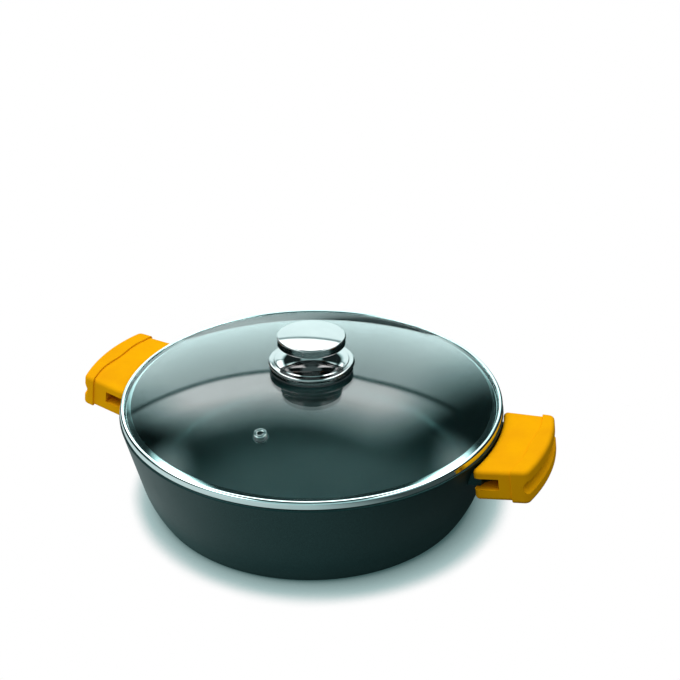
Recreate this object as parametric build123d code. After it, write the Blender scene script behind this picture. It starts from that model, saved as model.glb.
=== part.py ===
from build123d import *
import math
import os

# Low cast pan with a domed glass lid and two silicone side grips, standing on its base.
# Millimetres and degrees. The origin is the centre of the base, +Z is up and the grips lie along X.

# Cast pan body
rim_radius = 141.0
rim_height = 72.6
rim_edge_rounding = 0.9
flare_angle = 13.3
bend_height = 24.0
foot_radius = 119.6
foot_rounding = 1.5
wall = 4.0
floor_thickness = 5.0
floor_fillet = 16.0

# Stainless disc in the base: each ring of holes is (ring radius, number of holes, hole radius)
disc_radius = 117.5
disc_thickness = 1.0
disc_edge_chamfer = 0.25
hole_rings = [(0.0, 1, 4.0), (10.0, 6, 3.15), (17.0, 12, 2.5), (23.5, 12, 1.5)]
plug_recess = 0.5
plug_dimple = 0.3
set_clearance = 0.05

# Handle tabs, cast with the body, in a frame that tilts up outward from the rim
tab_height = 59.5
tab_tilt = 8.5
tab_thickness = 8.2
tab_reach = 27.5
tab_half_width = 28.0
tab_corner = 7.0
tab_edge_rounding = 1.8
root_half_width = 37.0
root_margin = 1.0
root_fillet = 2.0

# Silicone grips
grip_reach = 37.5
grip_half_length = 42.0
grip_end_taper = 5.5
grip_rim_gap = 1.2
grip_roof = 6.2
grip_floor = 8.2
grip_outer_radius = 140.0
grip_corner = 5.0
grip_inner_corner = 3.2
grip_edge_rounding = 3.0
step_height = 1.2
step_rounding = 0.5
step_line = [(-48.0, 20.5), (-36.0, 22.3), (-20.0, 25.6), (0.0, 26.0), (20.0, 27.6), (34.0, 25.8), (48.0, 22.5)]
slot_reach = 13.0
sleeve_clearance = 0.3
groove_radius = 5.0
groove_depth = 3.0
groove_lip_rounding = 1.2
groove_lip_overlap = 0.05
groove_corner_turn = 22.0

# Lid glass
glass_apex_height = 100.0
glass_thickness = 4.0
glass_edge_flat = 1.4
glass_edge_rounding = 1.2
screw_hole_radius = 4.0

# Steel band round the glass
band_inset = 1.0
band_top_height = 78.0
band_thickness = 0.6
band_shoulder = 1.7
band_foot_rounding = 0.8
fold_rounding = 0.5
lip_width = 2.8
support_width = 3.0
seal_thickness = 0.7
lid_seat_gap = 0.1
lid_side_play = 0.5
locating_drop = 3.2
fit_gap = 0.05

# Steam vent on the dome, towards -Y
vent_radius = 86.0
vent_bore_radius = 2.1
vent_tube_radius = 2.8
vent_gasket_radius = 3.35
vent_flange_radius = 4.5
vent_flange_height = 1.3
vent_gasket_flange_radius = 4.7
vent_gasket_thickness = 0.6
vent_washer_radius = 5.5
vent_washer_thickness = 0.7
vent_clinch_radius = 3.8
vent_clinch_thickness = 0.5

# Knob on the lid
gasket_thickness = 0.6
skirt_radius = 31.5
skirt_bead_overhang = 0.8
skirt_sheet = 0.8
skirt_bead_height = 3.4
skirt_foot_height = 1.8
flare_start_radius = 27.0
flare_step = 0.5
flare_rise = 0.6
neck_radius = 13.4
neck_height = 19.0
core_radius = 7.8
core_head_radius = 20.0
core_head_height = 2.6
underplate_thickness = 0.8
cap_radius = 24.9
cap_sheet = 0.8
cap_band_height = 6.3
cap_crown = 1.4
cap_edge_rounding = 1.0
cap_lip_width = 2.2
insert_radius = 4.2
insert_length = 10.0
insert_recess = 0.3
gasket_inset = 0.4

# Fasteners under the glass
lower_gasket_radius = 10.0
lower_gasket_thickness = 1.0
sleeve_radius = 3.8
washer_radius = 9.0
washer_thickness = 1.0
lock_washer_radius = 4.4
lock_washer_thickness = 1.3
lock_washer_split = 0.9
screw_radius = 2.5
screw_length = 16.0
thread_gap = 0.02
washer_play = 0.15
screw_head_radius = 4.7
screw_head_height = 3.2
recess_width = 1.2
recess_length = 5.0
recess_depth = 1.8

# Worked out from the sizes above
flare_slope = math.tan(math.radians(flare_angle))
wall_across = wall / math.cos(math.radians(flare_angle))
floor_height = disc_thickness + floor_thickness
slot_height = tab_thickness + 2 * sleeve_clearance
band_radius = rim_radius - band_inset
band_foot_height = rim_height + lid_seat_gap
fold_bottom_height = band_foot_height - locating_drop
fold_radius = rim_radius - (rim_height - fold_bottom_height) * flare_slope - wall_across - lid_side_play
seal_radius = band_radius - band_thickness - fit_gap
glass_radius = seal_radius - seal_thickness - fit_gap
dome_span_radius = glass_radius - glass_edge_flat
lip_inner_radius = dome_span_radius - lip_width
support_inner_radius = fold_radius - 2 * band_thickness - support_width
glass_rim_top = band_top_height - band_thickness - fit_gap
dome_rise = glass_apex_height - glass_rim_top
dome_radius = (dome_span_radius ** 2 + dome_rise ** 2) / (2 * dome_rise)
dome_centre_height = glass_apex_height - dome_radius
glass_rim_bottom = glass_rim_top - glass_thickness
skirt_foot_radius = skirt_radius - skirt_bead_overhang
knob_foot_height = glass_apex_height + gasket_thickness
bead_top_height = knob_foot_height + skirt_foot_height + skirt_bead_height
neck_top_height = knob_foot_height + neck_height
cap_bottom_height = neck_top_height - skirt_sheet
underplate_height = cap_bottom_height + cap_sheet
insert_top = knob_foot_height + insert_recess + insert_length
lower_gasket_height = glass_apex_height - glass_thickness - lower_gasket_thickness
washer_height = lower_gasket_height - washer_thickness
lock_washer_height = washer_height - lock_washer_thickness


def wall_radius(height, inset=0.0):
    """Radius of the straight flared wall at a height, an inset inside its outer face."""
    return rim_radius - inset - (rim_height - height) * flare_slope


def dome_height(radius, inset=0.0):
    """Height at a radius of the sphere that lies an inset inside the dome's outer face."""
    return dome_centre_height + math.sqrt((dome_radius - inset) ** 2 - radius ** 2)


def dome_arc(start_radius, end_radius, inset=0.0):
    """Arc of that sphere between two radii, as an edge of a section."""
    middle_radius = (start_radius + end_radius) / 2
    radii = (start_radius, middle_radius, end_radius)
    return ThreePointArc(*[(radius, dome_height(radius, inset)) for radius in radii])


def rounded_polygon(corners):
    """Face from corners given as (across, up, rounding)."""
    face = make_face(Polyline(*[(across, up) for across, up, rounding in corners], close=True))
    for across, up, rounding in corners:
        if rounding > 0:
            corner = face.vertices().sort_by_distance((across, up, 0))[0]
            face = fillet(corner, rounding)
    return face


def turned(face):
    """Solid of revolution about Z of a face drawn as (radius, height)."""
    return revolve(Plane.XZ * face, Axis.Z)


def ring(inner_radius, outer_radius, bottom, top):
    """Plain round ring, or a disc where the inner radius is 0."""
    body = Pos(0, 0, bottom) * extrude(Circle(outer_radius), top - bottom)
    if inner_radius > 0:
        body -= Pos(0, 0, bottom) * extrude(Circle(inner_radius), top - bottom)
    return body


def hole_places():
    """Centre and radius of every perforation of the base disc."""
    for ring_radius, count, hole_radius in hole_rings:
        for index in range(count):
            angle = 2 * math.pi * index / count
            yield ring_radius * math.cos(angle), ring_radius * math.sin(angle), hole_radius


tab_frame = Plane(
    origin=(rim_radius, 0, tab_height),
    x_dir=(math.cos(math.radians(tab_tilt)), 0, math.sin(math.radians(tab_tilt))),
    z_dir=(-math.sin(math.radians(tab_tilt)), 0, math.cos(math.radians(tab_tilt))),
)


def slab(face, bottom, top):
    """Solid between two heights over a face drawn in the tab's frame."""
    return tab_frame * Pos(0, 0, bottom) * extrude(face, top - bottom)


def make_tab():
    """One cast tab: wide at the wall, drawn in by hollow corners, rounded at its end."""
    inside = -2 * wall - (root_half_width ** 2) / (2 * rim_radius)
    root_reach = slot_reach - root_margin
    outline = Curve() + Polyline(
        (0, root_half_width), (inside, root_half_width), (inside, -root_half_width), (0, -root_half_width)
    )
    for side in (1, -1):
        outline += TangentArc((root_reach, side * tab_half_width), (0, side * root_half_width), tangent=(-1, 0))
    outline += Polyline(
        (root_reach, tab_half_width),
        (tab_reach, tab_half_width),
        (tab_reach, -tab_half_width),
        (root_reach, -tab_half_width),
    )
    face = make_face(outline)
    for side in (1, -1):
        end_corner = face.vertices().sort_by_distance((tab_reach, side * tab_half_width, 0))[0]
        face = fillet(end_corner, tab_corner)
    tab = slab(face, -tab_thickness / 2, tab_thickness / 2)
    edges = rim_edges(tab, -tab_thickness / 2, tab_thickness / 2)
    outside = edges.filter_by(lambda edge: tab_frame.to_local_coords(edge.center()).X > 0)
    return fillet(outside, tab_edge_rounding)


def bowl_solid():
    """Outside of the casting, solid: flared wall, bowl that bends in tangent to it, flat foot."""
    rim_point = (rim_radius, rim_height)
    bend_point = (wall_radius(bend_height), bend_height)
    foot_point = (foot_radius, 0)
    wall_line = Line(rim_point, bend_point)
    bowl_arc = TangentArc(bend_point, foot_point, tangent=wall_line % 1)
    closing = Polyline(foot_point, (0, 0), (0, rim_height), rim_point)
    face = make_face(Curve() + [wall_line, bowl_arc, closing])
    rim_corner = face.vertices().sort_by_distance((*rim_point, 0))[0]
    face = fillet(rim_corner, rim_edge_rounding)
    foot_corner = face.vertices().sort_by_distance((*foot_point, 0))[0]
    face = fillet(foot_corner, foot_rounding)
    return turned(face)


def bowl_hollow():
    """The space inside the casting, up past the rim."""
    past_rim = rim_height + wall
    corners = [
        (0, floor_height, 0),
        (wall_radius(floor_height, wall_across), floor_height, floor_fillet),
        (wall_radius(past_rim, wall_across), past_rim, 0),
        (0, past_rim, 0),
    ]
    return turned(rounded_polygon(corners))


def make_pan_body():
    """The casting with its two tabs, the recess for the disc and the plugs that fill its holes."""
    tab = make_tab()
    body = bowl_solid() + tab + Rot(0, 0, 180) * tab
    roots = body.edges().filter_by(is_tab_root)
    if roots:
        body = fillet(roots, root_fillet)
    body -= bowl_hollow()
    body -= ring(0, disc_radius + set_clearance, 0, disc_thickness)
    for x, y, hole_radius in hole_places():
        plug = ring(0, hole_radius - set_clearance, plug_recess, disc_thickness)
        dimple_radius = hole_radius / 2
        bite_radius = (dimple_radius ** 2 + plug_dimple ** 2) / (2 * plug_dimple)
        bite = Pos(0, 0, plug_recess + plug_dimple - bite_radius) * Sphere(bite_radius)
        body += Pos(x, y, 0) * (plug - bite)
    return body


def is_tab_root(edge):
    """True for the edges where a tab's flat faces meet the bowl's wall."""
    centre = edge.center()
    near_wall = math.hypot(centre.X, centre.Y) < rim_radius + 1
    near_tab = abs(centre.Z - tab_height) < tab_thickness
    return near_wall and near_tab and edge.length > tab_half_width


def make_induction_disc():
    """Thin steel plate with its rings of holes."""
    disc = ring(0, disc_radius, 0, disc_thickness)
    disc = chamfer(disc.edges().sort_by(Axis.Z)[0], disc_edge_chamfer)
    for x, y, hole_radius in hole_places():
        disc -= Pos(x, y, 0) * ring(0, hole_radius, 0, disc_thickness)
    return disc


def grip_outline(proud):
    """Plan of a grip: hollow edge along the rim, straight ends, bowed outer edge with round corners."""
    half_length = grip_half_length + proud
    inner = Circle(rim_radius + grip_rim_gap).moved(Location((-rim_radius, 0)))
    bow_centre = grip_reach - grip_outer_radius
    bowed = Circle(grip_outer_radius + proud).moved(Location((bow_centre, 0)))
    depth = 2 * grip_reach
    narrowing = depth * math.tan(math.radians(grip_end_taper))
    strip = make_face(
        Polyline(
            (-depth, half_length + narrowing),
            (depth, half_length - narrowing),
            (depth, -half_length + narrowing),
            (-depth, -half_length - narrowing),
            close=True,
        )
    )
    face = (strip & bowed) - inner
    face = fillet(face.vertices().group_by(Axis.X)[-1], grip_corner)
    return fillet(face.vertices().group_by(Axis.X)[0], grip_inner_corner)


def make_grip():
    """Right-hand sleeve: body, proud outer part behind a wavy step, slot, pocket and finger groove."""
    top = slot_height / 2 + grip_roof
    bottom = -slot_height / 2 - grip_floor
    inner_block = slab(grip_outline(0), bottom, top)
    inner_block = fillet(rim_edges(inner_block, bottom, top), grip_edge_rounding)

    outer_block = slab(grip_outline(step_height), bottom - step_height, top + step_height)
    outer_block = fillet(rim_edges(outer_block, bottom - step_height, top + step_height), grip_edge_rounding)
    wave = Spline(*[(across, along) for along, across in step_line])
    first_along, first_across = step_line[0]
    last_along, last_across = step_line[-1]
    far = 2 * grip_reach
    closing = Polyline((last_across, last_along), (far, last_along), (far, first_along), (first_across, first_along))
    outer_zone = make_face(Curve() + [wave, closing])
    outer_block &= slab(outer_zone, 2 * bottom, 2 * top)
    step_face = outer_block.faces().filter_by(GeomType.EXTRUSION)
    outer_block = fillet(step_face.edges(), step_rounding)

    grip = inner_block + outer_block
    grip -= slab(Rectangle(2 * slot_reach, 4 * grip_half_length), -slot_height / 2, slot_height / 2)
    pocket_reach = tab_reach + sleeve_clearance
    pocket = Rectangle(2 * pocket_reach, 2 * (tab_half_width + sleeve_clearance))
    grip -= slab(pocket, -slot_height / 2, slot_height / 2)
    return grip - make_groove((top + bottom) / 2)


def rim_edges(block, bottom, top):
    """Edges round the top and bottom faces of a block built in the tab's frame."""
    def on_face(edge):
        height = tab_frame.to_local_coords(edge.center()).Z
        return min(abs(height - top), abs(height - bottom)) < 0.01
    return block.edges().filter_by(on_face)


def groove_profile(surface_radius):
    """Section of the finger groove with its rounded lips, as (radius, height) across a face at that radius."""
    hollow_radius = surface_radius + groove_radius - groove_depth
    lip_radius = surface_radius - groove_lip_rounding + groove_lip_overlap
    between = groove_radius + groove_lip_rounding
    lip_height = math.sqrt(between ** 2 - (hollow_radius - lip_radius) ** 2)
    meet = groove_radius / between
    meet_radius = hollow_radius + (lip_radius - hollow_radius) * meet
    meet_height = lip_height * meet
    hollow = ThreePointArc(
        (meet_radius, meet_height), (surface_radius - groove_depth, 0), (meet_radius, -meet_height)
    )
    outline = Curve() + hollow
    for side in (1, -1):
        meet_point = (meet_radius, side * meet_height)
        top_point = (lip_radius + groove_lip_rounding, side * lip_height)
        outline += TangentArc(top_point, meet_point, tangent=(0, -side))
    far = surface_radius + groove_radius
    outline += Polyline(
        (lip_radius + groove_lip_rounding, lip_height),
        (far, lip_height),
        (far, -lip_height),
        (lip_radius + groove_lip_rounding, -lip_height),
    )
    return make_face(outline)


def make_groove(height):
    """Finger groove along the grip's bowed face and into its corners, with dished ends."""
    bow_centre = grip_reach - grip_outer_radius
    corners = grip_outline(step_height).edges().filter_by(GeomType.CIRCLE)
    corners = corners.filter_by(lambda edge: abs(edge.radius - grip_corner) < 0.01)
    corner_place = corners.sort_by(Axis.Y)[-1].arc_center
    start = math.degrees(math.atan2(corner_place.Y, corner_place.X - bow_centre))
    long_run = Plane.XZ * groove_profile(grip_outer_radius + step_height)
    groove = Pos(bow_centre, 0) * revolve(Rot(0, 0, -start) * long_run, Axis.Z, 2 * start)
    corner_profile = groove_profile(grip_corner)
    turn = Rot(0, 0, start) * revolve(Plane.XZ * corner_profile, Axis.Z, groove_corner_turn)
    upper = corner_profile & Pos(0, grip_reach) * Rectangle(4 * grip_reach, 2 * grip_reach)
    dish = Rot(0, 0, start + groove_corner_turn) * revolve(Plane.XZ * upper, Axis.X)
    corner = Pos(corner_place.X, corner_place.Y) * (turn + dish)
    groove += corner + mirror(corner, Plane.XZ)
    return tab_frame * Pos(0, 0, height) * groove


def make_lid_glass():
    """Dome with a short flat rim, a rounded edge and two holes."""
    inner_span = math.sqrt((dome_radius - glass_thickness) ** 2 - (glass_rim_bottom - dome_centre_height) ** 2)
    outer = dome_arc(0, dome_span_radius)
    inner = dome_arc(inner_span, 0, glass_thickness)
    rim = Polyline(
        (dome_span_radius, glass_rim_top),
        (glass_radius, glass_rim_top),
        (glass_radius, glass_rim_bottom),
        (inner_span, glass_rim_bottom),
    )
    axis_edge = Line((0, glass_apex_height - glass_thickness), (0, glass_apex_height))
    face = make_face(Curve() + [outer, rim, inner, axis_edge])
    for height in (glass_rim_top, glass_rim_bottom):
        corner = face.vertices().sort_by_distance((glass_radius, height, 0))[0]
        face = fillet(corner, glass_edge_rounding)
    glass = turned(face)
    glass -= ring(0, screw_hole_radius, 0, 2 * glass_apex_height)
    bore = extrude(Circle(vent_gasket_radius + fit_gap), glass_thickness * 2, both=True)
    return glass - vent_frame() * bore


def make_lid_band():
    """Folded steel strip: lip on the dome, shoulder, side, flat foot, locating fold and glass support."""
    inner_side = band_radius - band_thickness
    inner_fold = fold_radius - 2 * band_thickness
    channel_floor = band_foot_height + band_thickness
    inset_top = glass_thickness + fit_gap
    inset_bottom = inset_top + band_thickness
    corners = [
        (lip_inner_radius, dome_height(lip_inner_radius, -fit_gap), 0),
        (lip_inner_radius, dome_height(lip_inner_radius, -fit_gap - band_thickness), 0.25),
        (dome_span_radius, band_top_height, 0),
        (band_radius, band_top_height, band_shoulder),
        (band_radius, band_foot_height, band_foot_rounding),
        (fold_radius, band_foot_height, 0),
        (fold_radius, fold_bottom_height, fold_rounding),
        (inner_fold, fold_bottom_height, fold_rounding),
        (inner_fold, dome_height(inner_fold, inset_bottom), 0),
        (support_inner_radius, dome_height(support_inner_radius, inset_bottom), 0),
        (support_inner_radius, dome_height(support_inner_radius, inset_top), 0),
        (fold_radius, dome_height(fold_radius, inset_top), 0),
        (fold_radius + fold_rounding, channel_floor, 0),
        (inner_side, channel_floor, 0.3),
        (inner_side, band_top_height - band_thickness, band_shoulder - band_thickness),
        (dome_span_radius, band_top_height - band_thickness, 0),
    ]
    return turned(rounded_polygon(corners))


def make_lid_edge_seal():
    """Liner between the glass's edge and the band's side."""
    corner = band_shoulder - band_thickness
    return ring(glass_radius + fit_gap, seal_radius, glass_rim_bottom + corner, glass_rim_top - corner)


def vent_frame():
    """Frame on the dome's outer face at the vent, with Z along the face's normal."""
    lean = math.degrees(math.asin(vent_radius / dome_radius))
    return Pos(0, -vent_radius, dome_height(vent_radius)) * Rot(lean, 0, 0)


def make_vent_eyelet():
    """Tube through the glass with a rolled flange above and a clinched end below."""
    washer_bottom = -glass_thickness - fit_gap - vent_gasket_thickness - vent_washer_thickness
    clinch_bottom = washer_bottom - vent_clinch_thickness
    bead = vent_flange_height / 2 - 0.05
    corners = [
        (vent_bore_radius, clinch_bottom, 0),
        (vent_clinch_radius, clinch_bottom, 0.2),
        (vent_clinch_radius, washer_bottom, 0),
        (vent_tube_radius, washer_bottom, 0),
        (vent_tube_radius, 0, 0),
        (vent_flange_radius, 0, 0.3),
        (vent_flange_radius, vent_flange_height, bead),
        (vent_bore_radius, vent_flange_height, bead),
    ]
    return vent_frame() * turned(rounded_polygon(corners))


def make_vent_gasket():
    """Sleeve in the glass with a flange under it."""
    flange_top = -glass_thickness - fit_gap
    flange_bottom = flange_top - vent_gasket_thickness
    inner = vent_tube_radius + fit_gap
    corners = [
        (inner, flange_bottom, 0),
        (vent_gasket_flange_radius, flange_bottom, 0),
        (vent_gasket_flange_radius, flange_top, 0),
        (vent_gasket_radius, flange_top, 0),
        (vent_gasket_radius, -fit_gap, 0),
        (inner, -fit_gap, 0),
    ]
    return vent_frame() * turned(rounded_polygon(corners))


def make_vent_washer():
    """Washer that the clinched end holds against the gasket."""
    top = -glass_thickness - fit_gap - vent_gasket_thickness
    inner = vent_tube_radius + fit_gap
    return vent_frame() * ring(inner, vent_washer_radius, top - vent_washer_thickness, top)


def make_knob_skirt():
    """Bell-shaped sheet: foot, rolled bead, stepped flange, hollow flare and inturned neck."""
    bead = skirt_bead_height / 2
    foot_top = knob_foot_height + skirt_foot_height
    flange_height = bead_top_height + flare_rise
    neck_hole = core_radius + fit_gap
    inner_foot_radius = skirt_foot_radius - skirt_sheet
    inner_flange_height = flange_height - flare_step - skirt_sheet
    bead_arc = ThreePointArc(
        (skirt_radius - bead, foot_top),
        (skirt_radius, foot_top + bead),
        (skirt_radius - bead, bead_top_height),
    )
    flange = Polyline(
        (skirt_radius - bead, bead_top_height),
        (flare_start_radius + flare_step, flange_height - flare_step),
        (flare_start_radius, flange_height),
    )
    neck = Polyline(
        (neck_radius, neck_top_height),
        (neck_hole, neck_top_height),
        (neck_hole, neck_top_height - skirt_sheet),
        (neck_radius - skirt_sheet, neck_top_height - skirt_sheet),
    )
    inside = Polyline(
        (flare_start_radius, inner_flange_height),
        (inner_foot_radius, inner_flange_height),
        (inner_foot_radius, knob_foot_height),
        (skirt_foot_radius, knob_foot_height),
        (skirt_foot_radius, foot_top),
        (skirt_radius - bead, foot_top),
    )
    outer_flare = flare_arc((flare_start_radius, flange_height), (neck_radius, neck_top_height))
    inner_flare = flare_arc(
        (flare_start_radius, inner_flange_height), (neck_radius - skirt_sheet, neck_top_height - skirt_sheet)
    )
    return turned(make_face(Curve() + [bead_arc, flange, outer_flare, neck, inner_flare, inside]))


def flare_arc(low, high):
    """Quarter ellipse from a level start at the flange up to an upright end at the neck."""
    centre = (low[0], high[1])
    return EllipticalCenterArc(centre, low[0] - high[0], high[1] - low[1], start_angle=180, arc_size=90)


def make_knob_cap():
    """Crowned sheet cap with a straight band and a lip turned in under it."""
    edge_height = cap_bottom_height + cap_band_height
    inner_radius = cap_radius - cap_sheet
    crown = TangentArc((0, edge_height + cap_crown), (cap_radius, edge_height), tangent=(1, 0))
    inner_crown = TangentArc(
        (0, edge_height + cap_crown - cap_sheet), (inner_radius, edge_height - cap_sheet), tangent=(1, 0)
    )
    lip = Polyline(
        (cap_radius, edge_height),
        (cap_radius, cap_bottom_height),
        (cap_radius - cap_lip_width, cap_bottom_height),
        (cap_radius - cap_lip_width, underplate_height),
        (inner_radius, underplate_height),
        (inner_radius, edge_height - cap_sheet),
    )
    axis_edge = Line((0, edge_height + cap_crown - cap_sheet), (0, edge_height + cap_crown))
    face = make_face(Curve() + [crown, lip, inner_crown, axis_edge])
    for height in (edge_height, cap_bottom_height):
        corner = face.vertices().sort_by_distance((cap_radius, height, 0))[0]
        face = fillet(corner, cap_edge_rounding)
    return turned(face)


def make_knob_underplate():
    """Flat ring that closes the cap from below."""
    outer = cap_radius - cap_sheet - fit_gap
    return ring(core_radius + fit_gap, outer, underplate_height, underplate_height + underplate_thickness)


def make_knob_core():
    """Moulded core: shaft through the neck, head inside the cap, bore for the insert."""
    head_bottom = underplate_height + underplate_thickness
    core = ring(0, core_radius, knob_foot_height, head_bottom)
    core += ring(0, core_head_radius, head_bottom, head_bottom + core_head_height)
    return core - ring(0, insert_radius + fit_gap, knob_foot_height, insert_top + fit_gap)


def make_knob_insert():
    """Threaded insert, its thread left as a plain bore."""
    return ring(screw_radius + thread_gap, insert_radius, insert_top - insert_length, insert_top)


def make_knob_gasket_upper():
    """Gasket whose underside follows the dome and whose top is flat."""
    inner = screw_radius + washer_play
    outer = skirt_foot_radius - gasket_inset
    under = dome_arc(inner, outer, -fit_gap)
    top = Polyline(
        (outer, dome_height(outer, -fit_gap)),
        (outer, knob_foot_height),
        (inner, knob_foot_height),
        (inner, dome_height(inner, -fit_gap)),
    )
    return turned(make_face(Curve() + [under, top]))


def make_knob_gasket_lower():
    """Gasket under the glass with a sleeve up through the screw hole."""
    inner = screw_radius + washer_play
    inset = glass_thickness + fit_gap
    over = dome_arc(sleeve_radius, lower_gasket_radius, inset)
    rest = Polyline(
        (lower_gasket_radius, dome_height(lower_gasket_radius, inset)),
        (lower_gasket_radius, lower_gasket_height),
        (inner, lower_gasket_height),
        (inner, glass_apex_height - fit_gap),
        (sleeve_radius, glass_apex_height - fit_gap),
        (sleeve_radius, dome_height(sleeve_radius, inset)),
    )
    return turned(make_face(Curve() + [over, rest]))


def make_knob_washer():
    """Flat washer with a broken outer edge."""
    washer = ring(screw_radius + washer_play, washer_radius, washer_height, lower_gasket_height)
    return chamfer(washer.edges().filter_by(GeomType.CIRCLE).sort_by(SortBy.RADIUS)[-2:], washer_thickness / 5)


def make_knob_lock_washer():
    """Spring washer, split on one side."""
    washer = ring(screw_radius + washer_play, lock_washer_radius, lock_washer_height, washer_height)
    split = Pos(lock_washer_radius, 0, lock_washer_height) * Box(
        2 * lock_washer_radius, lock_washer_split, 4 * lock_washer_thickness
    )
    return washer - split


def make_knob_screw():
    """Pan-head screw from below with a cross recess, its thread left plain."""
    head_bottom = lock_washer_height - screw_head_height
    corners = [
        (0, head_bottom, 0),
        (screw_head_radius, head_bottom, screw_head_height / 2),
        (screw_head_radius, lock_washer_height, 0.2),
        (screw_radius, lock_washer_height, 0),
        (screw_radius, lock_washer_height + screw_length, screw_radius / 5),
        (0, lock_washer_height + screw_length, 0),
    ]
    screw = turned(rounded_polygon(corners))
    for turn in (45, 135):
        slot = Box(recess_length, recess_width, 2 * recess_depth)
        screw -= Pos(0, 0, head_bottom) * Rot(0, 0, turn) * slot
    return screw


def make_nodes():
    """Every sub-part by name."""
    grip = make_grip()
    return {
        "pan_body": make_pan_body(),
        "induction_disc": make_induction_disc(),
        "grip_right": grip,
        "grip_left": Rot(0, 0, 180) * grip,
        "lid_glass": make_lid_glass(),
        "lid_band": make_lid_band(),
        "lid_edge_seal": make_lid_edge_seal(),
        "vent_eyelet": make_vent_eyelet(),
        "vent_gasket": make_vent_gasket(),
        "vent_washer": make_vent_washer(),
        "knob_cap": make_knob_cap(),
        "knob_underplate": make_knob_underplate(),
        "knob_skirt": make_knob_skirt(),
        "knob_core": make_knob_core(),
        "knob_insert": make_knob_insert(),
        "knob_gasket_upper": make_knob_gasket_upper(),
        "knob_gasket_lower": make_knob_gasket_lower(),
        "knob_washer": make_knob_washer(),
        "knob_lock_washer": make_knob_lock_washer(),
        "knob_screw": make_knob_screw(),
    }


os.makedirs("parts", exist_ok=True)
for node, solid in make_nodes().items():
    export_step(solid, f"parts/{node}.step")
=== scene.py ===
import bmesh
import bpy
import math
from mathutils import Matrix, Vector


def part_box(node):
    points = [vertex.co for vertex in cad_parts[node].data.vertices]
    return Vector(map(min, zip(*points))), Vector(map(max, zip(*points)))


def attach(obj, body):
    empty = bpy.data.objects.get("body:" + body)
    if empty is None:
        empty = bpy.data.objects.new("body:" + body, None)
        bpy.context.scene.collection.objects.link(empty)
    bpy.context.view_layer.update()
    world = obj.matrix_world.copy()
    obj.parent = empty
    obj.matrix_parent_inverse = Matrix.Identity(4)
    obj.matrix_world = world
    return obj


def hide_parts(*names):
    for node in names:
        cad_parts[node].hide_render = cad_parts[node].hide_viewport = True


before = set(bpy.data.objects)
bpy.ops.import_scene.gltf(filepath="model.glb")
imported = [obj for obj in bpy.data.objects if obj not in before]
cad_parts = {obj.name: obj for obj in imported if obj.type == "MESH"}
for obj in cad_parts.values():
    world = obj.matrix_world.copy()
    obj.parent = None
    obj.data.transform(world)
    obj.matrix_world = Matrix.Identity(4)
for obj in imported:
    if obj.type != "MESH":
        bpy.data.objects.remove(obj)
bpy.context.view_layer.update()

# Camera, read from the pan's rim, the lid's band and the base in the photograph, with its angles in degrees
CAMERA_DISTANCE = 0.824
CAMERA_AZIMUTH = 24.05
CAMERA_ELEVATION = 30.03
CAMERA_AIM = Vector((0.0, 0.0, 0.0779))
AIM_PIXEL = (312.0, 392.0)
FOCAL_PIXELS = 1114.0
PICTURE_SIDE = 680
SENSOR_WIDTH = 36.0

# Nonstick coating
COATING_DARK = (0.002, 0.007, 0.007, 1)
COATING_LIGHT = (0.011, 0.030, 0.030, 1)
COATING_GLOSS = (0.38, 1.0, 1.0, 1)
COATING_ROUGHNESS = [(0.3, 0.36), (0.7, 0.44)]
SPECKLE_SCALE = 1500.0
SPECKLE_EDGES = [(0.38, 0.0), (0.66, 1.0)]
SPECKLE_RELIEF = 0.00003
SHEEN_CLOUD_SCALE = 18.0

# Silicone of the grips
SILICONE_YELLOW = (1.0, 0.44, 0.003, 1)
SILICONE_AMBER = (0.92, 0.37, 0.004, 1)
SILICONE_GLOSS = (1.0, 0.55, 0.05, 1)
SILICONE_ROUGHNESS = [(0.2, 0.55), (0.8, 0.7)]
SILICONE_CLOUD_SCALE = 45.0
SILICONE_CLOUD_EDGES = [(0.35, 0.0), (0.75, 1.0)]
SILICONE_GRAIN_SCALE = 2400.0
SILICONE_RELIEF = 0.00003

# Steel: a ring scale counts the grooves along a metre of radius, a round scale along a radian of turn
STEEL_BRIGHT = (0.80, 0.88, 0.88, 1)
STEEL_GREY = (0.68, 0.76, 0.76, 1)
# Knob steel: a darker copy of the same polished steel, painted shade that dims the knob's reflections
KNOB_STEEL_SHADED_BRIGHT = (0.52, 0.50, 0.50, 1)
KNOB_STEEL_SHADED_GREY = (0.44, 0.43, 0.43, 1)
POLISH_RING_SCALE = 2600.0
POLISH_ROUND_SCALE = 1.2
POLISH_RELIEF = 0.000004
POLISH_ROUGHNESS = 0.01
POLISH_ROUGHNESS_DRIFT = 0.05
SMEAR_SCALE = 60.0
BRUSH_RING_SCALE = 3200.0
BRUSH_ROUND_SCALE = 2.0
BRUSH_RELIEF = 0.00001
BRUSH_ROUGHNESS = [(0.25, 0.24), (0.75, 0.4)]
TONE_RING_SCALE = 160.0
TONE_ROUND_SCALE = 0.6

# Glass and small inner parts
GLASS_TINT = (0.93, 0.985, 0.98, 1)
GLASS_SHADOW = (0.86, 0.93, 0.92, 1)
GLASS_RIPPLE_SCALE = 9.0
GLASS_RELIEF = 0.0004
SEAL_GREY = (0.10, 0.12, 0.125, 1)
CORE_BLACK = (0.012, 0.014, 0.015, 1)
INSERT_BRASS = (0.72, 0.50, 0.16, 1)
GRAIN_SHADE = 0.7
GRAIN_RELIEF = 0.00002
GRAIN_START = 0.3
GRAIN_END = 0.7
GRAIN_ROUGHNESS_DRIFT = 0.05

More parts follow.
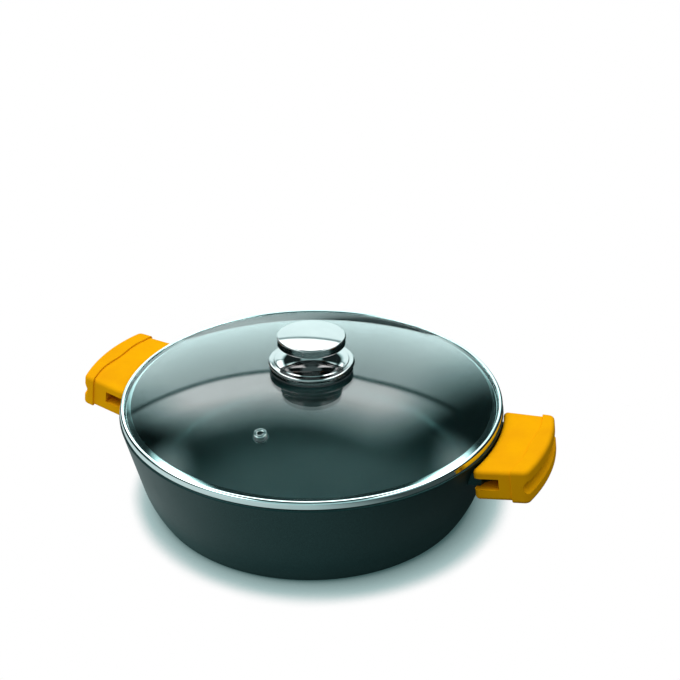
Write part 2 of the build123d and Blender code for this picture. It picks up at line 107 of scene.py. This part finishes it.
# Band of the lid, in metres, which stands where the CAD ring does and has a narrower lip on the glass
BAND_SHEET = 0.0006
BAND_SIDE_HEIGHT = 0.0053
BAND_SHOULDER = 0.0017
BAND_LIP_WIDTH = 0.0028
BAND_LIP_ROUNDING = 0.00028
BAND_FOOT_GAP = 0.0001
BAND_FOOT_WIDTH = 0.00434
BAND_FOOT_ROUNDING = 0.0008
BAND_CHANNEL_ROUNDING = 0.0003
FOLD_ROUNDING = 0.0005
SHELF_WIDTH = 0.003
SHELF_THICKNESS = 0.00063
SHELF_STEP = 0.0003
SHELF_SLOPE = 0.331
TURN_STEPS = 480
ROUND_STEPS = 7
SHARP_ANGLE = math.radians(32)
SAME_PLACE = 0.00002

# Floor: the painted shade near the pan, and the painted glow that reflections and bounce light see of it, by
# metres to the right of BOUNCE_AXIS
FLOOR_SIDE = 12.0
CONTACT_REACH = 0.045
SHADE_DRIFT = 0.60
DRIFT_REACH = 0.2
CONTACT_SHADE = [
    (0.28, (0.05, 0.10, 0.10, 1)),
    (0.57, (0.38, 0.52, 0.52, 1)),
    (0.71, (1.0, 1.0, 1.0, 1)),
]
BOUNCE_AXIS = 0.5
FLOOR_BOUNCE = [
    (0.30, (0.66, 0.78, 0.78, 1)),
    (0.50, (0.40, 0.52, 0.52, 1)),
    (0.64, (0.05, 0.07, 0.07, 1)),
]

# Studio panels that gloss and glass reflect, by direction: 0 is straight down and 1 straight up in the steps
PANEL_STRENGTH = 3.4
PANEL_TILT = 0.20
PANEL_BEND = 0.16
PANEL_SHIFT = 0.06
PANEL_STEPS = [
    (0.50, 0.50), (0.746, 0.53), (0.753, 0.08), (0.758, 0.08),
    (0.765, 0.86), (0.81, 1.0), (0.86, 0.45), (0.90, 0.04), (1.0, 0.0),
]
PANEL_SIDES = [(0.30, 1.0), (0.62, 0.0)]
LEAST_DEPTH = 0.001
WING_STRENGTH = 5.2
WING_SIDES = [(0.34, 0.0), (0.52, 1.0)]
WING_HEIGHTS = [(0.62, 0.0), (0.80, 1.0)]
FRONT_STRENGTH = 0.6
FRONT_EDGES = [(0.35, 0.0), (0.55, 1.0)]
STUDIO_DIM = 0.03
GLOSS_TINTS = [(0.0, (0.55, 1.0, 1.0, 1)), (0.5, (0.76, 1.0, 1.0, 1)), (0.85, (0.92, 1.0, 1.0, 1))]

# Even light from above, and the key lamp
SKY_TINT = (0.90, 1.0, 1.0, 1)
SKY_STRENGTH = 1.5
SKY_LEAST = 0.05
BACKDROP_WHITE = (1.0, 1.0, 1.0, 1)
KEY_PLACE = Vector((-0.75, -0.1, 1.6))
KEY_SIDE = 1.2
KEY_POWER = 11.0

# Sockets of Blender's colour mix node, which share their names with its other kinds
MIX_FACTOR = 0
MIX_FIRST = 6
MIX_SECOND = 7
MIX_RESULT = 2


class Nodes:
    """Shorthand for one node tree. All but set add a node with its values and return it or its output."""

    def __init__(self, tree):
        self.tree = tree
        self.tree.nodes.clear()

    def add(self, kind, inputs=None, **settings):
        node = self.tree.nodes.new(kind)
        for name, value in settings.items():
            setattr(node, name, value)
        for name, value in (inputs or {}).items():
            self.set(node, name, value)
        return node

    def set(self, node, name, value):
        socket = node.inputs[name]
        if isinstance(value, bpy.types.NodeSocket):
            self.tree.links.new(value, socket)
        else:
            socket.default_value = value

    def math(self, operation, *values, clamp=False):
        inputs = dict(enumerate(values))
        return self.add("ShaderNodeMath", inputs, operation=operation, use_clamp=clamp).outputs[0]

    def dot(self, vector, axis):
        inputs = {0: vector, 1: axis}
        return self.add("ShaderNodeVectorMath", inputs, operation="DOT_PRODUCT").outputs["Value"]

    def ramp(self, factor, stops, interpolation="LINEAR"):
        node = self.add("ShaderNodeValToRGB", {"Fac": factor})
        node.color_ramp.interpolation = interpolation
        elements = node.color_ramp.elements
        while len(elements) < len(stops):
            elements.new(1.0)
        for element, (position, colour) in zip(elements, stops):
            element.position = position
            element.color = colour if isinstance(colour, tuple) else (colour, colour, colour, 1)
        return node.outputs["Color"]

    def mix(self, factor, first, second, blend="MIX"):
        inputs = {MIX_FACTOR: factor, MIX_FIRST: first, MIX_SECOND: second}
        return self.add("ShaderNodeMix", inputs, data_type="RGBA", blend_type=blend).outputs[MIX_RESULT]

    def mix_shaders(self, factor, first, second):
        return self.add("ShaderNodeMixShader", {0: factor, 1: first, 2: second}).outputs[0]

    def noise(self, vector, scale=1.0, detail=2.0, roughness=0.5):
        inputs = {"Vector": vector, "Scale": scale, "Detail": detail, "Roughness": roughness}
        return self.add("ShaderNodeTexNoise", inputs).outputs["Fac"]

    def bump(self, height, distance, strength):
        inputs = {"Height": height, "Distance": distance, "Strength": strength}
        return self.add("ShaderNodeBump", inputs).outputs["Normal"]

    def principled(self, inputs):
        return self.add("ShaderNodeBsdfPrincipled", inputs).outputs[0]


def new_finish(name):
    """Empty material with its node helper and the Object coordinates."""
    material = bpy.data.materials.new(name)
    material.use_nodes = True
    nodes = Nodes(material.node_tree)
    place = nodes.add("ShaderNodeTexCoord").outputs["Object"]
    return material, nodes, place


def finish_surface(nodes, shader):
    nodes.add("ShaderNodeOutputMaterial", {"Surface": shader})


def turned_place(nodes, place, ring_scale, round_scale):
    """Coordinates that run across the rings of a turned piece and slowly round it."""
    x, y, z = nodes.add("ShaderNodeSeparateXYZ", {"Vector": place}).outputs
    square = nodes.math("ADD", nodes.math("MULTIPLY", x, x), nodes.math("MULTIPLY", y, y))
    radius = nodes.math("POWER", square, 0.5)
    turn = nodes.math("ARCTAN2", y, x)
    joined = {
        0: nodes.math("MULTIPLY", radius, ring_scale),
        1: nodes.math("MULTIPLY", turn, round_scale),
        2: nodes.math("MULTIPLY", z, ring_scale),
    }
    return nodes.add("ShaderNodeCombineXYZ", joined).outputs[0]


def make_coating():
    """Nonstick coating: dark with a teal cast, a fine speckle and a soft sheen."""
    material, nodes, place = new_finish("nonstick_coating_worn_in")
    speckle = nodes.noise(place, SPECKLE_SCALE, detail=3.0, roughness=0.65)
    cloud = nodes.noise(place, SHEEN_CLOUD_SCALE, detail=3.0)
    shader = nodes.principled(
        {
            "Base Color": nodes.mix(nodes.ramp(speckle, SPECKLE_EDGES), COATING_DARK, COATING_LIGHT),
            "Roughness": nodes.ramp(cloud, COATING_ROUGHNESS),
            "IOR": 1.42,
            "Specular Tint": COATING_GLOSS,
            "Normal": nodes.bump(speckle, SPECKLE_RELIEF, strength=0.6),
        }
    )
    finish_surface(nodes, shader)
    return material


def make_silicone():
    """Moulded silicone: saturated, matte, very slightly mottled, with a fine satin grain."""
    material, nodes, place = new_finish("grip_silicone_satin")
    cloud = nodes.noise(place, SILICONE_CLOUD_SCALE, detail=4.0)
    grain = nodes.noise(place, SILICONE_GRAIN_SCALE)
    mottle = nodes.ramp(cloud, SILICONE_CLOUD_EDGES)
    shader = nodes.principled(
        {
            "Base Color": nodes.mix(mottle, SILICONE_YELLOW, SILICONE_AMBER),
            "Roughness": nodes.ramp(grain, SILICONE_ROUGHNESS),
            "IOR": 1.41,
            "Specular IOR Level": 0.0,
            "Specular Tint": SILICONE_GLOSS,
            "Normal": nodes.bump(grain, SILICONE_RELIEF, strength=0.5),
        }
    )
    finish_surface(nodes, shader)
    return material


def make_polished_steel(name, bright, grey):
    """Polished steel: mirror bright, with the faint rings that polishing on a lathe leaves."""
    material, nodes, place = new_finish(name)
    rings = nodes.noise(turned_place(nodes, place, POLISH_RING_SCALE, POLISH_ROUND_SCALE), detail=3.0)
    smear = nodes.noise(place, SMEAR_SCALE, detail=3.0)
    drift = nodes.math("MULTIPLY", nodes.math("ADD", rings, smear), POLISH_ROUGHNESS_DRIFT)
    shader = nodes.principled(
        {
            "Base Color": nodes.mix(smear, bright, grey),
            "Metallic": 1.0,
            "Roughness": nodes.math("ADD", drift, POLISH_ROUGHNESS),
            "Normal": nodes.bump(rings, POLISH_RELIEF, strength=0.3),
        }
    )
    finish_surface(nodes, shader)
    return material


def make_brushed_disc():
    """Brushed steel of the base: fine rings from the brush, sheen across them."""
    material, nodes, place = new_finish("base_steel_ring_brushed")
    ring_place = turned_place(nodes, place, BRUSH_RING_SCALE, BRUSH_ROUND_SCALE)
    tone_place = turned_place(nodes, place, TONE_RING_SCALE, TONE_ROUND_SCALE)
    rings = nodes.noise(ring_place, detail=4.0, roughness=0.7)
    tone = nodes.math("MULTIPLY", rings, nodes.noise(tone_place))
    shader = nodes.principled(
        {
            "Base Color": nodes.mix(tone, STEEL_BRIGHT, STEEL_GREY),
            "Metallic": 1.0,
            "Roughness": nodes.ramp(rings, BRUSH_ROUGHNESS),
            "Anisotropic": 0.6,
            "Normal": nodes.bump(rings, BRUSH_RELIEF, strength=0.5),
            "Tangent": nodes.add("ShaderNodeTangent", direction_type="RADIAL", axis="Z").outputs[0],
        }
    )
    finish_surface(nodes, shader)
    return material


def make_glass():
    """Tempered glass, slightly teal, that lets the studio's light through to the pan."""
    material, nodes, place = new_finish("lid_glass_tempered")
    ripple = nodes.noise(place, GLASS_RIPPLE_SCALE, detail=1.0)
    glass = nodes.principled(
        {
            "Base Color": GLASS_TINT,
            "Roughness": 0.0,
            "IOR": 1.5,
            "Transmission Weight": 1.0,
            "Normal": nodes.bump(ripple, GLASS_RELIEF, strength=0.08),
        }
    )
    clear = nodes.add("ShaderNodeBsdfTransparent", {"Color": GLASS_SHADOW}).outputs[0]
    in_shadow = nodes.add("ShaderNodeLightPath").outputs["Is Shadow Ray"]
    finish_surface(nodes, nodes.mix_shaders(in_shadow, glass, clear))
    return material


def make_plain(name, colour, roughness, scale, metallic=0.0):
    """Small inner parts: a colour that varies a little, with a fine grain."""
    material, nodes, place = new_finish(name)
    grain = nodes.noise(place, scale, detail=3.0)
    darker = tuple(channel * GRAIN_SHADE for channel in colour[:3]) + (1,)
    low = roughness - GRAIN_ROUGHNESS_DRIFT
    high = roughness + GRAIN_ROUGHNESS_DRIFT
    shader = nodes.principled(
        {
            "Base Color": nodes.mix(grain, colour, darker),
            "Metallic": metallic,
            "Roughness": nodes.ramp(grain, [(GRAIN_START, low), (GRAIN_END, high)]),
            "Normal": nodes.bump(grain, GRAIN_RELIEF, strength=0.4),
        }
    )
    finish_surface(nodes, shader)
    return material


def band_section():
    """Corners of the band's closed section as radius, height and rounding, from its place in the frame."""
    lowest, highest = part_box("lid_band")
    side = highest.x
    inner_side = side - BAND_SHEET
    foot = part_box("pan_body")[1].z + BAND_FOOT_GAP
    channel = foot + BAND_SHEET
    top = foot + BAND_SIDE_HEIGHT
    lip = side - BAND_LIP_WIDTH
    fold = side - BAND_FOOT_WIDTH
    inner_fold = fold - 2 * BAND_SHEET
    shelf = inner_fold - SHELF_WIDTH

    def shelf_top(radius):
        return channel + SHELF_STEP + SHELF_SLOPE * (fold - radius)

    return [
        (lip, top - BAND_SHEET, 0),
        (lip, top, BAND_LIP_ROUNDING),
        (side, top, BAND_SHOULDER),
        (side, foot, BAND_FOOT_ROUNDING),
        (fold, foot, 0),
        (fold, lowest.z, FOLD_ROUNDING),
        (inner_fold, lowest.z, FOLD_ROUNDING),
        (inner_fold, shelf_top(inner_fold) - SHELF_THICKNESS, 0),
        (shelf, shelf_top(shelf) - SHELF_THICKNESS, 0),
        (shelf, shelf_top(shelf), 0),
        (fold, shelf_top(fold), 0),
        (fold + FOLD_ROUNDING, channel, 0),
        (inner_side, channel, BAND_CHANNEL_ROUNDING),
        (inner_side, top - BAND_SHEET, BAND_SHOULDER - BAND_SHEET),
    ]


def select_ring(piece, radius, height):
    """In edit mode, selects only the edges that run round the axis at this radius and height."""
    bpy.ops.mesh.select_all(action="DESELECT")
    mesh = bmesh.from_edit_mesh(piece.data)
    for edge in mesh.edges:
        places = [(vertex.co.xy.length - radius, vertex.co.z - height) for vertex in edge.verts]
        if all(math.hypot(*place) < SAME_PLACE for place in places):
            edge.select_set(True)
    bmesh.update_edit_mesh(piece.data)


def make_turned(name, corners):
    """Ring turned on the pan's axis: a circle extruded round its section and closed, then rounded."""
    bpy.ops.object.select_all(action="DESELECT")
    radius, height, _ = corners[0]
    bpy.ops.mesh.primitive_circle_add(vertices=TURN_STEPS, radius=radius, calc_uvs=False, location=(0, 0, 0))
    piece = bpy.context.object
    piece.name = name
    piece.data.name = name
    bpy.ops.object.mode_set(mode="EDIT")
    bpy.ops.mesh.select_all(action="SELECT")
    bpy.ops.transform.translate(value=(0, 0, height))
    for next_radius, next_height, _ in corners[1:] + corners[:1]:
        bpy.ops.mesh.extrude_region_move(TRANSFORM_OT_translate={"value": (0, 0, next_height - height)})
        widening = (next_radius / radius, next_radius / radius, 1)
        bpy.ops.transform.resize(value=widening, center_override=(0, 0, next_height))
        radius, height = next_radius, next_height
    bpy.ops.mesh.select_all(action="SELECT")
    bpy.ops.mesh.remove_doubles(threshold=SAME_PLACE)
    for radius, height, rounding in corners:
        if rounding:
            select_ring(piece, radius, height)
            bpy.ops.mesh.bevel(offset=rounding, segments=ROUND_STEPS, affect="EDGES")
    bpy.ops.mesh.select_all(action="SELECT")
    bpy.ops.mesh.normals_make_consistent(inside=False)
    bpy.ops.object.mode_set(mode="OBJECT")
    bpy.ops.object.shade_smooth_by_angle(angle=SHARP_ANGLE)
    return piece


def make_band(polished):
    """Polished band of the lid, turned finely enough for a clean reflection."""
    band = make_turned("lid_band_polished", band_section())
    band.data.materials.append(polished)
    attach(band, "lid")
    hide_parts("lid_band")


def dress_nodes():
    """Gives every CAD node its finish."""
    coating = make_coating()
    silicone = make_silicone()
    polished = make_polished_steel("polished_steel_turned", STEEL_BRIGHT, STEEL_GREY)
    # The knob takes the darker copy of the steel: painted shade that dims its reflections
    shaded_knob_steel = make_polished_steel("shaded_knob_steel_turned", KNOB_STEEL_SHADED_BRIGHT, KNOB_STEEL_SHADED_GREY)
    seal = make_plain("seal_silicone_grey", SEAL_GREY, roughness=0.5, scale=900.0)
    core = make_plain("core_plastic_black", CORE_BLACK, roughness=0.45, scale=700.0)
    brass = make_plain("insert_brass", INSERT_BRASS, roughness=0.25, scale=500.0, metallic=1.0)
    finishes = {
        "pan_body": coating,
        "induction_disc": make_brushed_disc(),
        "grip_right": silicone,
        "grip_left": silicone,
        "lid_glass": make_glass(),
        "lid_band": polished,
        "lid_edge_seal": seal,
        "vent_eyelet": polished,
        "vent_gasket": seal,
        "vent_washer": polished,
        "knob_cap": shaded_knob_steel,
        "knob_underplate": shaded_knob_steel,
        "knob_skirt": shaded_knob_steel,
        "knob_core": core,
        "knob_insert": brass,
        "knob_gasket_upper": seal,
        "knob_gasket_lower": seal,
        "knob_washer": polished,
        "knob_lock_washer": polished,
        "knob_screw": polished,
    }
    for name, finish in finishes.items():
        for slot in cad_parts[name].material_slots:
            slot.material = finish
    make_band(polished)


def view_directions():
    """Where the camera stands, with its forward, right and up directions."""
    azimuth = math.radians(CAMERA_AZIMUTH)
    elevation = math.radians(CAMERA_ELEVATION)
    level = math.cos(elevation)
    away = Vector((math.sin(azimuth) * level, -math.cos(azimuth) * level, math.sin(elevation)))
    across = (AIM_PIXEL[0] - PICTURE_SIDE / 2) / FOCAL_PIXELS
    down = (AIM_PIXEL[1] - PICTURE_SIDE / 2) / FOCAL_PIXELS
    length = math.sqrt(1 + across ** 2 + down ** 2)
    pitch = math.asin(length * math.sin(elevation) / math.sqrt(1 + down ** 2)) - math.atan(down)
    swing = math.atan2(across, math.cos(pitch) - down * math.sin(pitch))
    heading = Matrix.Rotation(swing, 3, "Z") @ Vector((-math.sin(azimuth), math.cos(azimuth), 0))
    forward = heading * math.cos(pitch) - Vector((0, 0, math.sin(pitch)))
    right = Vector((heading.y, -heading.x, 0))
    return CAMERA_AIM + away * CAMERA_DISTANCE, forward, right, right.cross(forward)


def make_camera():
    """Camera that shows the aim at its own pixel, off the picture's middle, without a lens shift."""
    place, forward, right, up = view_directions()
    camera = bpy.data.objects.new("camera", bpy.data.cameras.new("camera"))
    bpy.context.scene.collection.objects.link(camera)
    camera.data.sensor_width = SENSOR_WIDTH
    camera.data.lens = FOCAL_PIXELS * SENSOR_WIDTH / PICTURE_SIDE
    camera.data.clip_start = 0.01
    camera.data.clip_end = 50
    turn = Matrix((right, up, -forward)).transposed().to_4x4()
    camera.matrix_world = Matrix.Translation(place) @ turn
    bpy.context.scene.camera = camera


def studio_gloss(nodes, height, depth, side):
    """Light of the studio panels: one behind the pan, wings high up at both sides and a weak one in front."""
    lean = nodes.math("MULTIPLY", nodes.math("MINIMUM", side, PANEL_BEND), PANEL_TILT)
    tilted = nodes.math("SUBTRACT", height, lean)
    panels = nodes.ramp(nodes.math("MULTIPLY_ADD", tilted, 0.5, 0.5), PANEL_STEPS)
    slant = nodes.math("DIVIDE", side, nodes.math("MAXIMUM", depth, LEAST_DEPTH))
    slant = nodes.math("ABSOLUTE", nodes.math("ADD", slant, PANEL_SHIFT))
    sector = nodes.ramp(slant, PANEL_SIDES, "EASE")
    rear = nodes.math("MULTIPLY", nodes.math("MULTIPLY", panels, sector), PANEL_STRENGTH)
    beyond = nodes.ramp(nodes.math("ABSOLUTE", side), WING_SIDES, "EASE")
    wings = nodes.math("MULTIPLY", beyond, nodes.ramp(height, WING_HEIGHTS, "EASE"))
    front = nodes.ramp(nodes.math("MULTIPLY", depth, -1.0), FRONT_EDGES)
    gloss = nodes.math("MULTIPLY_ADD", wings, WING_STRENGTH, nodes.math("ADD", rear, STUDIO_DIM))
    return nodes.math("MULTIPLY_ADD", front, FRONT_STRENGTH, gloss)


def make_world():
    """Even light from above for matte surfaces, studio panels for gloss and glass, white for the camera."""
    world = bpy.data.worlds.new("studio")
    bpy.context.scene.world = world
    world.use_nodes = True
    world.cycles.sampling_method = "NONE"
    nodes = Nodes(world.node_tree)
    direction = nodes.add("ShaderNodeTexCoord").outputs["Generated"]
    azimuth = math.radians(CAMERA_AZIMUTH)
    height = nodes.dot(direction, (0, 0, 1))
    depth = nodes.dot(direction, (-math.sin(azimuth), math.cos(azimuth), 0))
    side = nodes.dot(direction, (math.cos(azimuth), math.sin(azimuth), 0))
    gloss = studio_gloss(nodes, height, depth, side)
    tint = nodes.ramp(nodes.math("DIVIDE", gloss, PANEL_STRENGTH), GLOSS_TINTS)
    upward = nodes.math("MAXIMUM", height, 0.0)
    even = nodes.math("MULTIPLY_ADD", nodes.math("MULTIPLY", upward, upward), SKY_STRENGTH, SKY_LEAST)
    rays = nodes.add("ShaderNodeLightPath").outputs
    shiny = nodes.math("MAXIMUM", rays["Is Glossy Ray"], rays["Is Transmission Ray"])
    shade = {"Color": nodes.mix(shiny, SKY_TINT, tint), "Strength": nodes.mix(shiny, even, gloss)}
    light = nodes.add("ShaderNodeBackground", shade).outputs[0]
    white = nodes.add("ShaderNodeBackground", {"Color": BACKDROP_WHITE, "Strength": 1.0}).outputs[0]
    both = nodes.mix_shaders(rays["Is Camera Ray"], light, white)
    nodes.add("ShaderNodeOutputWorld", {"Surface": both})


def make_floor():
    """White glowing floor with a painted shade under the pan, its glow painted dimmer to the right for
    reflections and bounce light, clear from below.
    """
    bpy.ops.object.select_all(action="DESELECT")
    bpy.ops.mesh.primitive_plane_add(size=FLOOR_SIDE, location=(0, 0, 0))
    floor = bpy.context.object
    floor.name = "floor"
    material, nodes, place = new_finish("floor_white")
    # Painted shade: the floor's glow darkens where the pan is near, set by occlusion and not by the lamp
    openness = nodes.add("ShaderNodeAmbientOcclusion", {"Distance": CONTACT_REACH}, samples=32)
    azimuth = math.radians(CAMERA_AZIMUTH)
    aside = nodes.dot(place, (math.cos(azimuth), math.sin(azimuth), 0))
    drift = nodes.math("MULTIPLY", nodes.math("MINIMUM", aside, DRIFT_REACH), SHADE_DRIFT)
    shade = nodes.ramp(nodes.math("SUBTRACT", openness.outputs["AO"], drift), CONTACT_SHADE)
    # Painted light: what reflections and bounce light see of the floor is bright at the left and dim at the
    # right
    bounce = nodes.ramp(nodes.math("ADD", aside, BOUNCE_AXIS, clamp=True), FLOOR_BOUNCE)
    painted_floor_glow = nodes.mix(1.0, shade, bounce, blend="MULTIPLY")
    seen = nodes.add("ShaderNodeLightPath").outputs["Is Camera Ray"]
    glow = nodes.add("ShaderNodeEmission", {"Color": nodes.mix(seen, painted_floor_glow, shade), "Strength": 1.0})
    from_below = nodes.add("ShaderNodeNewGeometry").outputs["Backfacing"]
    clear = nodes.add("ShaderNodeBsdfTransparent")
    finish_surface(nodes, nodes.mix_shaders(from_below, glow.outputs[0], clear.outputs[0]))
    floor.data.materials.append(material)


def make_key_lamp():
    """Soft square lamp high up on the left that looks at the pan and shows in no reflection."""
    light = bpy.data.lights.new("key", "AREA")
    light.size = KEY_SIDE
    light.energy = KEY_POWER
    lamp = bpy.data.objects.new("key", light)
    bpy.context.scene.collection.objects.link(lamp)
    lamp.location = KEY_PLACE
    lamp.rotation_euler = (CAMERA_AIM - KEY_PLACE).to_track_quat("-Z", "Y").to_euler()
    lamp.visible_glossy = False
    lamp.visible_transmission = False


dress_nodes()
make_camera()
make_world()
make_floor()
make_key_lamp()
bpy.context.scene.view_settings.view_transform = "Standard"
